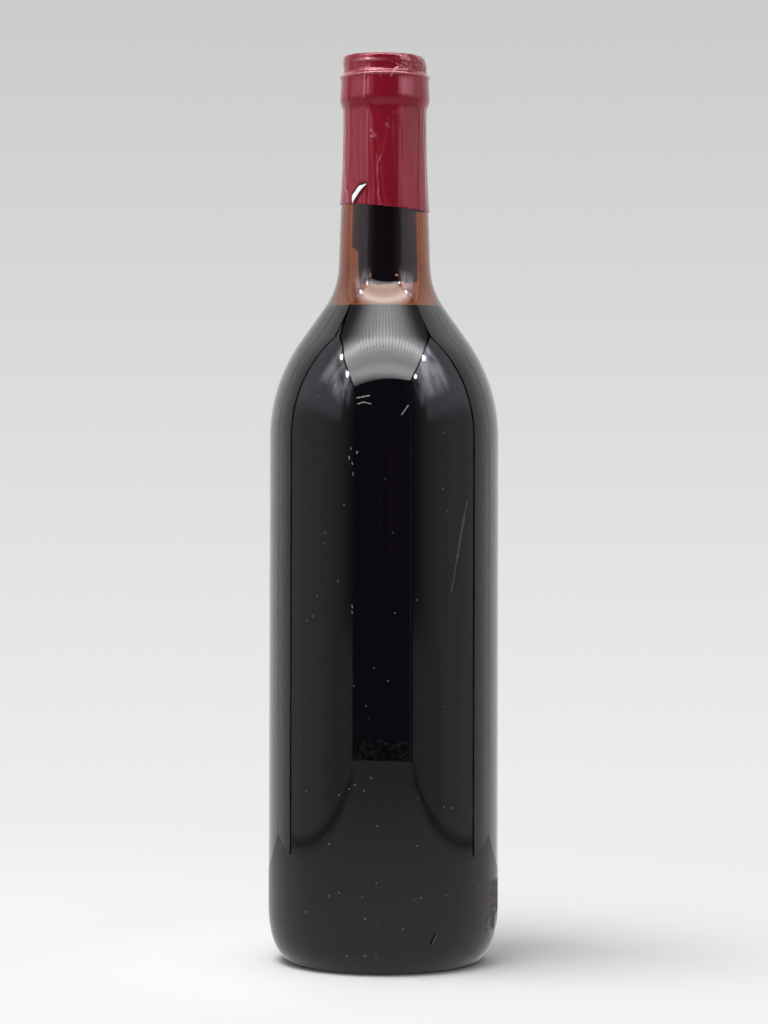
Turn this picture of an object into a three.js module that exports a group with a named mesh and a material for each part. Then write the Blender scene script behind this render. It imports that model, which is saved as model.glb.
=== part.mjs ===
// A corked 75 cl wine bottle of amber glass with a crimson capsule, filled with dark red wine.
// Millimetres, +Z up. The origin is on the axis, on the surface that the bottle stands on.

import * as THREE from "three";

// Body and base of the glass
const bodyRadius = 38;
const heelHeight = 20;
const heelWidth = 10;
const heelPower = 2.35;
const standingRingWidth = 3.5;
const puntDepth = 12;

// Shoulder and neck of the glass
const shoulderStart = 173.2;
const shoulderRadius = 55.2;
const shoulderAngle = THREE.MathUtils.degToRad(35.6);
const neckRootRadius = 24.9;
const neckRadius = 15.27;
const neckTaper = THREE.MathUtils.degToRad(2);
const capsuleEdgeHeight = 249;
const waistHeight = 275;
const waistRadius = 13.58;

// Lip and its band
const bandBottom = 282.6;
const bandTop = 293.2;
const bandLowRadius = 14.68;
const bandHighRadius = 14.25;
const bandBevel = 2;
const bandEdge = 1;
const bandTopBevel = 0.7;
const flareHeight = 0.8;
const flareStart = 0.1;
const flareEnd = 0.4;
const lipRadius = 13.58;
const lipStep = 0.2;
const lipStepHeight = 1;
const lipRounding = 1.1;
const lipHeight = 298.5;

// Inside of the glass
const bodyWall = 2.8;
const floorThickness = 5.5;
const innerHeelRadius = 8;
const boreLowRadius = 11.2;
const boreMouthRadius = 9.3;
const mouthRounding = 0.6;

// Wine, cork and capsule
const fillHeight = 215.4;
const wineGap = 0.3;
const corkGap = 0.1;
const corkBottom = 224.8;
const corkTop = 298.3;
const corkBevelWidth = 1.2;
const corkBevelHeight = 0.5;
const corkNotchTop = 235.4;
const corkNotchSide = 7.6;
const corkNotchBreak = 0.8;
const corkTopBand = 0.8;
const capsuleGap = 0.08;
const capsuleWall = 0.2;
const capsuleTop = 299;
const edgeTiltAcross = 1.3;
const edgeTiltFront = 0.5;

// Folds pressed into the capsule: degrees to the right of the front, lowest and highest
// points, and how far they stand out
const folds = [
  [-70, 249, 281, 0.35],
  [-24, 253, 279, 0.4],
  [-7, 247, 268, 0.45],
  [2, 259, 281, 0.3],
  [38, 250, 276, 0.25],
  [78, 247, 279, 0.3],
  [122, 248, 272, 0.35],
  [165, 252, 281, 0.3],
  [-145, 247, 270, 0.35],
  [-108, 255, 280, 0.3],
];
const foldWidth = 5;
const foldEnds = 3;
const crumpleDepth = 0.22;
const crumpleBottom = 292.4;
const crumpleCoarse = 11;
const crumpleFine = 17;

// Facets round each piece, and steps along the curves of the profiles
const glassFacets = 48;
const wineFacets = 40;
const corkFacets = 36;
const capsuleFacets = 60;
const heelSteps = 7;
const domeSteps = 5;
const innerHeelSteps = 5;
const shoulderSteps = 9;
const innerShoulderSteps = 8;
const glassSleeveSteps = 3;
const capsuleSleeveSteps = 6;
const lipSteps = 3;

// Points along a round stretch, from one angle to the other, both included
function arc(centreRadius, centreHeight, radius, from, to, steps) {
  const points = [];
  for (let i = 0; i <= steps; i++) {
    const angle = from + ((to - from) * i) / steps;
    points.push(
      new THREE.Vector2(
        centreRadius + radius * Math.cos(angle),
        centreHeight + radius * Math.sin(angle),
      ),
    );
  }
  return points;
}

// The heel is a soft quarter curve that leaves the wall slowly and turns under quickly
function heel(steps) {
  const points = [];
  for (let i = 0; i <= steps; i++) {
    const angle = (Math.PI / 2) * (1 - i / steps);
    const across = Math.pow(Math.cos(angle), 2 / heelPower);
    const down = Math.pow(Math.sin(angle), 2 / heelPower);
    points.push(
      new THREE.Vector2(
        bodyRadius - heelWidth + heelWidth * across,
        heelHeight * (1 - down),
      ),
    );
  }
  return points;
}

// A shallow dome from the axis out to a ring, for the hollow under the base
function dome(edgeRadius, edgeHeight, rise, steps) {
  const radius = (edgeRadius ** 2 + rise ** 2) / (2 * rise);
  const halfAngle = Math.asin(edgeRadius / radius);
  const top = Math.PI / 2;
  return arc(0, edgeHeight + rise - radius, radius, top, top - halfAngle, steps);
}

// Shoulder arc, straight slope and neck root, upwards from the body wall to the neck line
function shoulder(wall, radius, rootRadius, neck, steps) {
  const arcRadius = shoulderRadius - wall;
  const rise = arc(
    radius - arcRadius,
    shoulderStart,
    arcRadius,
    0,
    shoulderAngle,
    steps,
  );
  const slopeStart = rise[rise.length - 1];
  const slopeEndRadius =
    neck + rootRadius * (Math.cos(neckTaper) - Math.cos(shoulderAngle));
  const slopeEndHeight =
    slopeStart.y + (slopeStart.x - slopeEndRadius) / Math.tan(shoulderAngle);
  const root = arc(
    slopeEndRadius + rootRadius * Math.cos(shoulderAngle),
    slopeEndHeight + rootRadius * Math.sin(shoulderAngle),
    rootRadius,
    Math.PI + shoulderAngle,
    Math.PI + neckTaper,
    steps,
  );
  return [...rise, ...root];
}

// Outside of the glass from the neck root's end to the middle of the lip's top
const outerShoulder = shoulder(
  0,
  bodyRadius,
  neckRootRadius,
  neckRadius,
  shoulderSteps,
);
const neckStart = outerShoulder[outerShoulder.length - 1];
const edgeRadius =
  neckStart.x - (capsuleEdgeHeight - neckStart.y) * Math.tan(neckTaper);
const waistBend = (edgeRadius - waistRadius) / (waistHeight - capsuleEdgeHeight) ** 2;

// The neck narrows in a line, and then in a curve that ends at the waist under the lip
function neckRadiusAt(height) {
  if (height > waistHeight) return waistRadius;
  if (height > capsuleEdgeHeight) {
    return waistRadius + waistBend * (waistHeight - height) ** 2;
  }
  return edgeRadius + (capsuleEdgeHeight - height) * Math.tan(neckTaper);
}

function sleevePart(steps) {
  const points = [];
  for (let i = 0; i <= steps; i++) {
    const height =
      capsuleEdgeHeight + ((waistHeight - capsuleEdgeHeight) * i) / steps;
    points.push(new THREE.Vector2(neckRadiusAt(height), height));
  }
  return points;
}

function lipPart() {
  return [
    new THREE.Vector2(waistRadius + flareStart, bandBottom - flareHeight),
    new THREE.Vector2(waistRadius + flareEnd, bandBottom),
    new THREE.Vector2(bandLowRadius, bandBottom + bandBevel),
    new THREE.Vector2(bandLowRadius, bandBottom + bandBevel + bandEdge),
    new THREE.Vector2(bandHighRadius, bandTop - bandTopBevel),
    new THREE.Vector2(lipRadius + lipStep, bandTop),
    new THREE.Vector2(lipRadius, bandTop + lipStepHeight),
    ...arc(
      lipRadius - lipRounding,
      lipHeight - lipRounding,
      lipRounding,
      0,
      Math.PI / 2,
      lipSteps,
    ),
  ];
}

// Inside of the glass, upwards from the middle of its floor to the mouth
function cavity() {
  const innerRadius = bodyRadius - bodyWall;
  const floorRadius = innerRadius - innerHeelRadius;
  const floor = dome(floorRadius, floorThickness, puntDepth, domeSteps);
  const innerHeel = arc(
    floorRadius,
    floorThickness + innerHeelRadius,
    innerHeelRadius,
    -Math.PI / 2,
    0,
    innerHeelSteps,
  );
  const innerRoot = neckRootRadius + bodyWall;
  return [
    ...floor.slice(0, -1),
    ...innerHeel,
    ...shoulder(bodyWall, innerRadius, innerRoot, boreLowRadius, innerShoulderSteps),
  ];
}

// A solid of revolution about Z whose profile starts and ends on the axis, faces outwards
function turned(profile, facets, shape = (point) => point) {
  const geometry = new THREE.LatheGeometry(profile, facets);
  geometry.rotateX(Math.PI / 2);
  const position = geometry.attributes.position;
  const point = new THREE.Vector3();
  for (let i = 0; i < position.count; i++) {
    point.fromBufferAttribute(position, i);
    shape(point, i % profile.length);
    position.setXYZ(i, point.x, point.y, point.z);
  }
  geometry.computeVertexNormals();
  return geometry;
}

function sub(name, geometry, settings) {
  const mesh = new THREE.Mesh(geometry, new THREE.MeshStandardMaterial(settings));
  mesh.name = name;
  return mesh;
}

// Glass bottle: outside from the hollow under the base up to the lip, then down the inside
function glassProfile() {
  const standingRadius = bodyRadius - heelWidth;
  const punt = dome(standingRadius - standingRingWidth, 0, puntDepth, domeSteps);
  const mouth = [
    new THREE.Vector2(boreMouthRadius + mouthRounding, lipHeight),
    new THREE.Vector2(boreMouthRadius, lipHeight - mouthRounding),
  ];
  return [
    ...punt,
    ...heel(heelSteps),
    ...outerShoulder,
    ...sleevePart(glassSleeveSteps),
    ...lipPart(),
    ...mouth,
    ...cavity().reverse(),
  ];
}

// Wine: the cavity's shape drawn in by the gap, and cut level at the fill line
function wineProfile() {
  const wall = cavity();
  const points = [];
  for (let i = 0; i < wall.length; i++) {
    const before = wall[Math.max(i - 1, 0)];
    const after = wall[Math.min(i + 1, wall.length - 1)];
    const along = after.clone().sub(before).normalize();
    const moved = new THREE.Vector2(
      i === 0 ? 0 : wall[i].x - along.y * wineGap,
      wall[i].y + along.x * wineGap,
    );
    if (moved.y < fillHeight) {
      points.push(moved);
      continue;
    }
    const last = points[points.length - 1];
    const share = (fillHeight - last.y) / (moved.y - last.y);
    points.push(last.clone().lerp(moved, share));
    break;
  }
  points.push(new THREE.Vector2(0, fillHeight));
  return points;
}

// Cork: fills the bore, with a piece broken out of its lower edge on the left
function boreRadiusAt(height) {
  const wall = cavity();
  const low = wall[wall.length - 1];
  const high = new THREE.Vector2(boreMouthRadius, lipHeight - mouthRounding);
  const share = Math.max((height - low.y) / (high.y - low.y), 0);
  return low.x + (high.x - low.x) * Math.min(share, 1);
}

function corkProfile() {
  const heights = [
    corkBottom + corkBevelHeight,
    corkNotchTop,
    corkNotchTop + corkNotchBreak,
    corkTop - corkTopBand,
  ];
  return [
    new THREE.Vector2(0, corkBottom),
    new THREE.Vector2(boreLowRadius - corkGap - corkBevelWidth, corkBottom),
    ...heights.map(
      (height) => new THREE.Vector2(boreRadiusAt(height) - corkGap, height),
    ),
    new THREE.Vector2(boreMouthRadius - corkGap, corkTop),
    new THREE.Vector2(0, corkTop),
  ];
}

function breakCork(point) {
  if (point.z <= corkNotchTop && point.x < -corkNotchSide) point.x = -corkNotchSide;
  return point;
}

// Capsule: a thin cap drawn over the lip and the neck, its lower edge cut a little aslant
const capsuleOuter = [...sleevePart(capsuleSleeveSteps), ...lipPart()];
const outerStep = capsuleGap + capsuleWall;

function capsuleProfile() {
  const offset = (points, step, top) =>
    points.map(
      (point) =>
        new THREE.Vector2(point.x + step, point.y > top ? point.y + step : point.y),
    );
  const lipStart = lipHeight - lipRounding;
  const outside = offset(capsuleOuter, outerStep, lipStart);
  const inside = offset(capsuleOuter, capsuleGap, lipStart);
  return [
    ...inside.map((point) => point.clone()).reverse(),
    ...outside,
  ];
}

function edgeHeightAt(point) {
  const radius = Math.hypot(point.x, point.y);
  return (
    capsuleEdgeHeight -
    (edgeTiltAcross * point.x) / radius +
    (edgeTiltFront * point.y) / radius
  );
}

// How far the folds and the crumpled top raise the capsule's outside at a point
function foldRise(point) {
  const degrees = THREE.MathUtils.radToDeg(Math.atan2(point.x, -point.y));
  let rise = 0;
  for (const [side, low, high, height] of folds) {
    const apart = THREE.MathUtils.euclideanModulo(degrees - side + 180, 360) - 180;
    const inside = Math.min(point.z - low, high - point.z) / foldEnds;
    const ends = THREE.MathUtils.clamp(inside, 0, 1);
    rise += height * ends * Math.exp(-((apart / foldWidth) ** 2));
  }
  return rise;
}

function crumpleRise(point) {
  if (point.z < crumpleBottom) return 0;
  const angle = Math.atan2(point.x, -point.y);
  const coarse = Math.sin(crumpleCoarse * angle + point.z);
  const fine = Math.sin(crumpleFine * angle - 2 * point.z);
  return (crumpleDepth * (2 + coarse + fine)) / 4;
}

function crease(point) {
  const radius = Math.hypot(point.x, point.y);
  if (radius < boreMouthRadius) return point;
  const grown = (radius + foldRise(point) + crumpleRise(point)) / radius;
  point.set(point.x * grown, point.y * grown, point.z);
  return point;
}

const edgeReach = capsuleOuter[1].y - capsuleEdgeHeight;

function slantEdge(point) {
  const share = 1 - (point.z - capsuleEdgeHeight) / edgeReach;
  const radius = Math.hypot(point.x, point.y);
  if (share <= 0 || radius < boreMouthRadius) return point;
  const height = point.z + share * (edgeHeightAt(point) - capsuleEdgeHeight);
  const grown = (radius + neckRadiusAt(height) - neckRadiusAt(point.z)) / radius;
  point.set(point.x * grown, point.y * grown, height);
  return point;
}

function capsuleGeometry() {
  const walls = capsuleProfile();
  const innerTop = new THREE.Vector2(0, lipHeight + capsuleGap);
  const outerTop = new THREE.Vector2(0, capsuleTop);
  const lastInside = walls.length / 2;
  return turned([innerTop, ...walls, outerTop], capsuleFacets, (point, place) => {
    if (place > lastInside) crease(point);
    return slantEdge(point);
  });
}

const bottle = sub("bottle", turned(glassProfile(), glassFacets), {
  color: 0x7a4a30,
  roughness: 0.05,
  metalness: 0,
  transparent: true,
  opacity: 0.55,
});
const wine = sub("wine", turned(wineProfile(), wineFacets), {
  color: 0x14060a,
  roughness: 0.1,
  metalness: 0,
});
const cork = sub("cork", turned(corkProfile(), corkFacets, breakCork), {
  color: 0x24100f,
  roughness: 0.85,
  metalness: 0,
});
const capsule = sub("capsule", capsuleGeometry(), {
  color: 0x7d1a2f,
  roughness: 0.42,
  metalness: 0.1,
});

const group = new THREE.Group();
group.add(bottle, wine, cork, capsule);

export default group;
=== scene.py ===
# A corked wine bottle of amber glass, filled with dark red wine, its neck and lip in a creased
# crimson capsule, standing in a light tent. Metres, +Z up, -Y is the side that the camera sees.

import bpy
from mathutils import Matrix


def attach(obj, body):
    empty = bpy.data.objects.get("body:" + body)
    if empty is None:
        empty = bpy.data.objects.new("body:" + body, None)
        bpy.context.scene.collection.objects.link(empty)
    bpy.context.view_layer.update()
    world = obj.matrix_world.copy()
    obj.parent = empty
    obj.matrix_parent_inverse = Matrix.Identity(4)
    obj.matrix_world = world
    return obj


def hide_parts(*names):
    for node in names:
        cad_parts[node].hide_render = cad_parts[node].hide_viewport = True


bl_info = {
    "name": "Corked wine bottle",
    "version": (1, 0, 0),
    "blender": (4, 5, 0),
    "location": "3D View > Sidebar > Bottle",
    "description": "Builds a corked, filled wine bottle and the light tent that it stands in",
    "category": "Add Mesh",
}

import math
import random

import bmesh
import bpy
from mathutils import Matrix, Vector, noise

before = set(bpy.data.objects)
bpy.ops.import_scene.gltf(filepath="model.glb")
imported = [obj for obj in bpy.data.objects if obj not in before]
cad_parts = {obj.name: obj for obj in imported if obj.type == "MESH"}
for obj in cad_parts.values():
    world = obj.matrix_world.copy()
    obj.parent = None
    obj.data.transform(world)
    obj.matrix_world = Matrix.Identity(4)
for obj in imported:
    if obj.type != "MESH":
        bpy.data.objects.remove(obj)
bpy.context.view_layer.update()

MM = 0.001
FULL_TURN = 2 * math.pi
BODY = "root"

# Camera, fitted to the outline of the base and to the curve of the lip's band
CAMERA_DISTANCE = 943.5 * MM
CAMERA_HEIGHT = 148.5 * MM
LENS = 100
SENSOR = 36
PICTURE_WIDTH = 768
PICTURE_HEIGHT = 1024
FOCAL_PIXELS = LENS / SENSOR * PICTURE_HEIGHT
CAMERA_ROLL = math.radians(0.13)

# How strongly each finish bends light, and its fixed colours
GLASS_IOR = 1.52
LACQUER_IOR = 1.55
WET_CORK_IOR = 1.15
BARE_FOIL_IOR = 2.4
FILM_IOR = 1.001
WINE_IOR = 1.34
WINE_ON_GLASS_IOR = 1.13
WHITE = (1, 1, 1, 1)
# The pale foil paints wear and painted highlights on the capsule's creases, bead and ledge. The dark foil is
# painted shade in the crumple and round the nick.
PALE_WEAR_AND_HIGHLIGHT_FOIL = (0.8, 0.36, 0.42)
PAINTED_SHADE_FOIL = (0.03, 0.002, 0.006)
PALE_FILM = (0.86, 0.55, 0.3)
DEEP_FILM = (0.36, 0.12, 0.02)

# Glass outline: angles and the points of the lip, which the capsule hides
SHOULDER_ANGLE = math.radians(35.6)
NECK_TAPER = math.radians(2)
HEEL_POWER = 2.35
STANDING_RING = 3.5 * MM
INNER_HEEL = 8 * MM
SLEEVE_START = 249 * MM
WAIST_HEIGHT = 275 * MM
WAIST_RADIUS = 13.58 * MM
LIP_TOP = 298.5 * MM
LIP_RADIUS = 13.58 * MM
LIP_ROUNDING = 1.1 * MM
MOUTH_ROUNDING = 0.6 * MM
LIP_POINTS = [
    (13.68, 281.8), (13.98, 282.6), (14.68, 284.6), (14.68, 285.6), (14.25, 292.5), (13.78, 293.2),
    (13.58, 294.2),
]

# Capsule outline above the waist, with the bead at the band's top and a ledge under the crown
CROWN_POINTS = [
    (13.87, 276.5), (13.88, 281.0), (14.0, 281.7), (14.2, 282.3), (14.96, 284.3), (14.95, 285.6),
    (14.6, 291.2), (14.72, 291.7), (14.86, 292.2), (14.6, 292.8), (13.98, 293.1), (13.84, 293.8),
    (13.84, 295.9), (13.98, 296.4), (13.98, 297.2), (13.94, 298.2), (13.7, 298.8), (12.9, 298.95),
    (6, 298.95),
]
CROWN_MIDDLE = 298.9 * MM

# How many steps each piece is spun in, the capsule's finest step, and what counts as one point
GLASS_STEPS = 192
WINE_STEPS = 128
CORK_STEPS = 96
CAPSULE_STEPS = 264
FILM_STEPS = 96
FINEST_STEP = 0.42 * MM
MERGE_DISTANCE = 0.001 * MM

# Heights on the capsule where its relief changes
SLANT_TOP = 262 * MM
NECK_END = 280 * MM
BEAD_HEIGHT = 292.2 * MM
CRUMPLE_START = 292.6 * MM
LEDGE_HEIGHT = 293.3 * MM
CORNER_START = 295.3 * MM
PUCKER_START = 296.5 * MM
LOBE_HEIGHT = 296.6 * MM

# Creases of the capsule: picture points along each, its rise and half width, and how pale it is painted,
# partly wear and partly painted highlight
CREASES = {
    "long upright": ([(367.5, 112), (367, 130), (367.5, 150), (368, 182)], 0.1, 0.4, 0.22),
    "left of the pair": ([(377, 154), (377.5, 166), (378.5, 195), (380.5, 206)], 0.14, 0.22, 0.35),
    "right of the pair": ([(381, 160), (382, 172), (384, 192), (386.5, 207)], 0.07, 0.3, 0.06),
    "upper join": ([(377, 136), (379, 150), (381, 158)], 0.07, 0.25, 0.06),
    "arm of the V": ([(388, 122), (386, 138), (382, 155)], 0.06, 0.25, 0.08),
    "left edge": ([(345.5, 108), (346, 130), (345, 160), (346.5, 188)], 0.14, 0.4, 0.3),
    "left edge fold": ([(344.5, 189), (347.5, 193), (348, 204)], 0.22, 0.35, 0.5),
    "left middle": ([(353, 112), (354, 135), (356, 165), (357, 183)], 0.06, 0.5, 0.05),
    "left waist": ([(361, 120), (362, 150), (361, 178)], 0.06, 0.5, 0.05),
    "right middle": ([(402, 108), (404, 140), (403, 175), (404, 208)], 0.06, 0.7, 0.03),
    "right waist": ([(414, 112), (416, 140), (415, 180)], 0.07, 0.6, 0.04),
    "right edge": ([(424, 108), (425, 130), (424.5, 170), (425, 205)], 0.1, 0.5, 0.1),
    "band left": ([(364, 74), (364.5, 84), (364, 97)], 0.07, 0.35, 0.3),
    "band right": ([(419, 76), (419.5, 98)], 0.05, 0.5, 0.04),
    "bead spur left": ([(361, 73), (366, 72), (365, 77)], 0.16, 0.3, 0.5),
    "bead spur middle": ([(380, 72), (380.5, 75.5)], 0.16, 0.25, 0.45),
    "bead spur right": ([(397, 67.5), (393, 71), (391, 75.5)], 0.2, 0.3, 0.7),
    "pucker left": ([(371, 131), (374, 133), (376.5, 136.5)], 0.18, 0.35, 0.3),
    "pucker middle": ([(371, 137), (375, 137)], 0.16, 0.3, 0.3),
    "pucker right": ([(386, 124), (389, 127)], 0.12, 0.3, 0.3),
    "join glint": ([(380.5, 156), (379, 161)], 0.16, 0.25, 0.5),
}

# Flat facets that a crease ends on one side: picture points down it, its rise, reach and side
FACETS = {
    "left of the V": ([(370, 106), (375, 120), (380.5, 136)], 0.3, 1.7, -1),
    "right of the V": ([(394, 113), (387.5, 121), (385, 139)], 0.26, 2.4, 1),
    "left of the pair": ([(377, 156), (378, 180), (380, 205)], 0.07, 0.7, -1),
}

# The lifted nick in the capsule: picture points of its left and right edge, from its foot up
NICK = [
    ((352.5, 203.4), (352.9, 203.4)), ((351.8, 199.5), (353.7, 201.2)), ((352.2, 195.6), (355.9, 197.6)),
    ((355.6, 190.7), (359.3, 192.2)), ((358.9, 186), (362.5, 188)), ((361.5, 185.2), (364.9, 185.6)),
    ((365.6, 184), (366.1, 184.2)),
]

# Marks on the glass, by picture points: each scratch or nick as its two ends and its half width
SCRATCHES = {
    "upper left of the strip": ((356.5, 398), (370, 395.5), 0.22),
    "second on the left": ((357.5, 404), (364, 402), 0.22),
    "second on the left, turned down": ((363, 402), (371.5, 404), 0.16),
    "slanted on the right": ((401.5, 415), (408.5, 405), 0.18),
    "nick below the shoulder": ((357.5, 451), (356.5, 454), 0.2),
    "nick left": ((349, 456), (349.5, 460), 0.16),
    "nick low": ((352, 462), (352.5, 465), 0.14),
    "nick high": ((351, 447), (351, 450), 0.12),
    "nick lowest": ((353, 472), (353, 476), 0.1),
    "pair upper": ((352, 605), (352.3, 608), 0.14),
    "pair lower": ((352, 611), (352.2, 614), 0.12),
    "chip's pale edge": ((436.4, 935), (432.2, 944.5), 0.05),
}
FAINT_SCRATCHES = {
    "long upper": ((467, 502), (462, 532), 0.4),
    "long middle": ((464, 516), (457, 560), 0.55),
    "long lower": ((459, 546), (451.5, 592), 0.34),
}
SPECKS = [
    (395, 613), (388, 681), (366, 706), (371, 778), (377, 826), (329, 896), (339, 893), (306, 912),
    (403, 929), (347, 956), (376, 957), (332, 344), (357, 356.5), (318, 396), (455, 385),
    (306, 791), (339, 795), (349, 789), (355, 785), (364, 791), (329, 844), (417, 846), (452, 808),
    (444, 807), (421, 898), (414, 900), (365, 919), (364, 956), (277, 765), (281, 846), (344, 505),
    (325, 533), (284, 537), (338, 581), (443, 489), (313, 616), (307, 621), (417, 600), (282, 715),
]
CHIP = ((435.2, 934), (430, 944.5), 0.36)

# The dried stain low on the right: degrees to the right of the front, and heights
STAIN_ANGLES = (62, 85)
STAIN_HEIGHTS = (11 * MM, 27.8 * MM)
STAIN_DRAWS = 420
STAIN_SEED = 5

# Dust all round: how many grains, and the lowest height and the span that they lie in
DUST_GRAINS = 300
DUST_LOW = 4 * MM
DUST_SPAN = 235 * MM
DUST_SEED = 11

# Drops on the inside of the neck by picture points, and how far up the film of wine reaches
DROPS = [(359.6, 289), (360, 293), (366.3, 284), (399, 285.5), (405.8, 290), (364, 296.5)]
FILM_TOP = 223.4 * MM

# Light tent, worked out from what the glass mirrors
TENT_HALF = 330 * MM
TENT_FRONT = -613 * MM
TENT_BACK = 245 * MM
TENT_TOP = 670 * MM
CEILING_FRONT = -600 * MM
SEAM_HALF = 7.5 * MM
LEFT_SEAM = 64 * MM
RIGHT_SEAM = 38 * MM
CORNER_GAP = 4 * MM
LEFT_FRONT = -573 * MM
LEFT_HEAD = [(-573, 520), (-420, 552), (-322, 572), (-244, 586), (-173, 604), (-89, 648)]
RIGHT_HEAD = [(-613, 652), (-369, 640), (-206, 638), (-89, 644)]
HEAD_GAP = 22 * MM
TENT_TINT = (0.99, 0.98, 1.12)
FLOOR_RADIUS = 620 * MM
TABLE_RADIUS = 836 * MM
HEM_RADIUS = 1.2 * TABLE_RADIUS
POST = (289 * MM, 299 * MM)
STREAKS = ((-44 * MM, -36 * MM), (54 * MM, 66 * MM))
STREAK_HEIGHTS = (100 * MM, 200 * MM)
CEILING_CORNERS = [(-450, -640), (345, -560), (345, 245), (-450, 245)]
KEY_PLACE = (-0.28, -0.2, 1.15)
KEY_SIZE = (0.8, 0.42)
LAMPS = [(-325, -150, 577), (325, -190, 606), (-325, -308, 547), (325, -405, 600)]
LAMP_SIZE = (42 * MM, 42 * MM)
LAMP_POWER = 0.2
LAMP_AIM = Vector((0, 0, 120 * MM))

# Grey of the backdrop as picture codes: at the camera's height, its fall by slope, and its ends
HORIZON_CODE = 225
CODE_FALL = 22 / 0.18
DARKEST_CODE = 190
PALEST_CODE = 250


def arc(centre, height, radius, start, end, steps):
    """Points of a round stretch from one angle to the other, both included."""
    angles = [start + (end - start) * i / steps for i in range(steps + 1)]
    return [(centre + radius * math.cos(angle), height + radius * math.sin(angle)) for angle in angles]


def heel(size, steps):
    """The soft quarter curve from the standing ring up to the wall."""
    points = []
    for i in range(steps + 1):
        angle = math.pi / 2 * (1 - i / steps)
        across = max(math.cos(angle), 0) ** (2 / HEEL_POWER)
        down = math.sin(angle) ** (2 / HEEL_POWER)
        points.append((size.body_radius - size.heel_width * (1 - across), size.heel_height * (1 - down)))
    return points


def dome(edge_radius, edge_height, rise, steps):
    """The hollow under the base, from the axis out to its ring."""
    radius = (edge_radius**2 + rise**2) / (2 * rise)
    half_angle = math.asin(edge_radius / radius)
    return arc(0, edge_height + rise - radius, radius, math.pi / 2, math.pi / 2 - half_angle, steps)


def shoulder(size, wall, radius, root_radius, neck, steps):
    """Shoulder arc, straight slope and neck root, upwards."""
    arc_radius = size.shoulder_radius - wall
    rise = arc(radius - arc_radius, size.shoulder_start, arc_radius, 0, SHOULDER_ANGLE, steps)
    top_radius, top_height = rise[-1]
    end_radius = neck + root_radius * (math.cos(NECK_TAPER) - math.cos(SHOULDER_ANGLE))
    end_height = top_height + (top_radius - end_radius) / math.tan(SHOULDER_ANGLE)
    centre = end_radius + root_radius * math.cos(SHOULDER_ANGLE)
    height = end_height + root_radius * math.sin(SHOULDER_ANGLE)
    root = arc(centre, height, root_radius, math.pi + SHOULDER_ANGLE, math.pi + NECK_TAPER, steps)
    return rise + root


def outer_shoulder(size):
    return shoulder(size, 0, size.body_radius, size.neck_root_radius, size.neck_radius, 30)


def neck_radius_at(size, height):
    """The neck narrows in a line, then in a curve that ends at the waist under the lip."""
    start_radius, start_height = outer_shoulder(size)[-1]
    edge_radius = start_radius - (SLEEVE_START - start_height) * math.tan(NECK_TAPER)
    if height > WAIST_HEIGHT:
        return WAIST_RADIUS
    if height > SLEEVE_START:
        share = (WAIST_HEIGHT - height) / (WAIST_HEIGHT - SLEEVE_START)
        return WAIST_RADIUS + (edge_radius - WAIST_RADIUS) * share**2
    return edge_radius + (SLEEVE_START - height) * math.tan(NECK_TAPER)


def sleeve(size, steps):
    span = WAIST_HEIGHT - SLEEVE_START
    heights = [SLEEVE_START + span * i / steps for i in range(steps + 1)]
    return [(neck_radius_at(size, height), height) for height in heights]


def cavity(size):
    """Inside of the glass, from the middle of its floor up to the end of the neck root."""
    inner = size.body_radius - size.wall
    floor_radius = inner - INNER_HEEL
    floor = dome(floor_radius, size.floor, size.punt_depth, 12)
    inner_heel = arc(floor_radius, size.floor + INNER_HEEL, INNER_HEEL, -math.pi / 2, 0, 12)
    root = size.neck_root_radius + size.wall
    return floor[:-1] + inner_heel + shoulder(size, size.wall, inner, root, size.bore_low, 30)


def divided(points, longest):
    """The same line with points added, so that no step is longer than asked."""
    result = [points[0]]
    for (x0, z0), (x1, z1) in zip(points, points[1:]):
        parts = max(1, math.ceil(math.hypot(x1 - x0, z1 - z0) / longest))
        result += [(x0 + (x1 - x0) * i / parts, z0 + (z1 - z0) * i / parts) for i in range(1, parts + 1)]
    return result


def rounded(points, rounds):
    """The line with its corners cut again and again, which rounds them."""
    for _ in range(rounds):
        cut = [points[0]]
        for (x0, z0), (x1, z1) in zip(points, points[1:]):
            for near, far in ((0.75, 0.25), (0.25, 0.75)):
                cut.append((near * x0 + far * x1, near * z0 + far * z1))
        points = cut + [points[-1]]
    return points


def clamped(value):
    return min(max(value, 0), 1)


def bell(distance, width):
    """1 at no distance, falling smoothly to nothing over about twice the width."""
    return math.exp(-((distance / width) ** 2))


def around(radius, angle, height):
    """The place at a radius and a height, at an angle to the right of the front."""
    return Vector((radius * math.sin(angle), -radius * math.cos(angle), height))


def radius_at(profile, height):
    """Radius of a profile at a height, between its points."""
    for (x0, z0), (x1, z1) in zip(profile, profile[1:]):
        if z0 <= height <= z1 and z1 > z0:
            return x0 + (x1 - x0) * (height - z0) / (z1 - z0)
    return profile[-1][0]


def glass_outside(size):
    return heel(size, 30) + outer_shoulder(size) + sleeve(size, 10)


def capsule_outside(size):
    """The capsule's outside from its lower edge up to the waist and over the crown."""
    step = size.capsule_gap + size.capsule_wall
    low = [(radius + step, height) for radius, height in sleeve(size, 10)]
    crown = [(radius * MM, height * MM) for radius, height in CROWN_POINTS]
    return low + rounded(crown, 2)


def from_middle(across, down):
    """How far a picture point is from the middle to the right and up, with the roll taken out."""
    right, up = across - PICTURE_WIDTH / 2, PICTURE_HEIGHT / 2 - down
    return (right - CAMERA_ROLL * up) / FOCAL_PIXELS, (up + CAMERA_ROLL * right) / FOCAL_PIXELS


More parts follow.
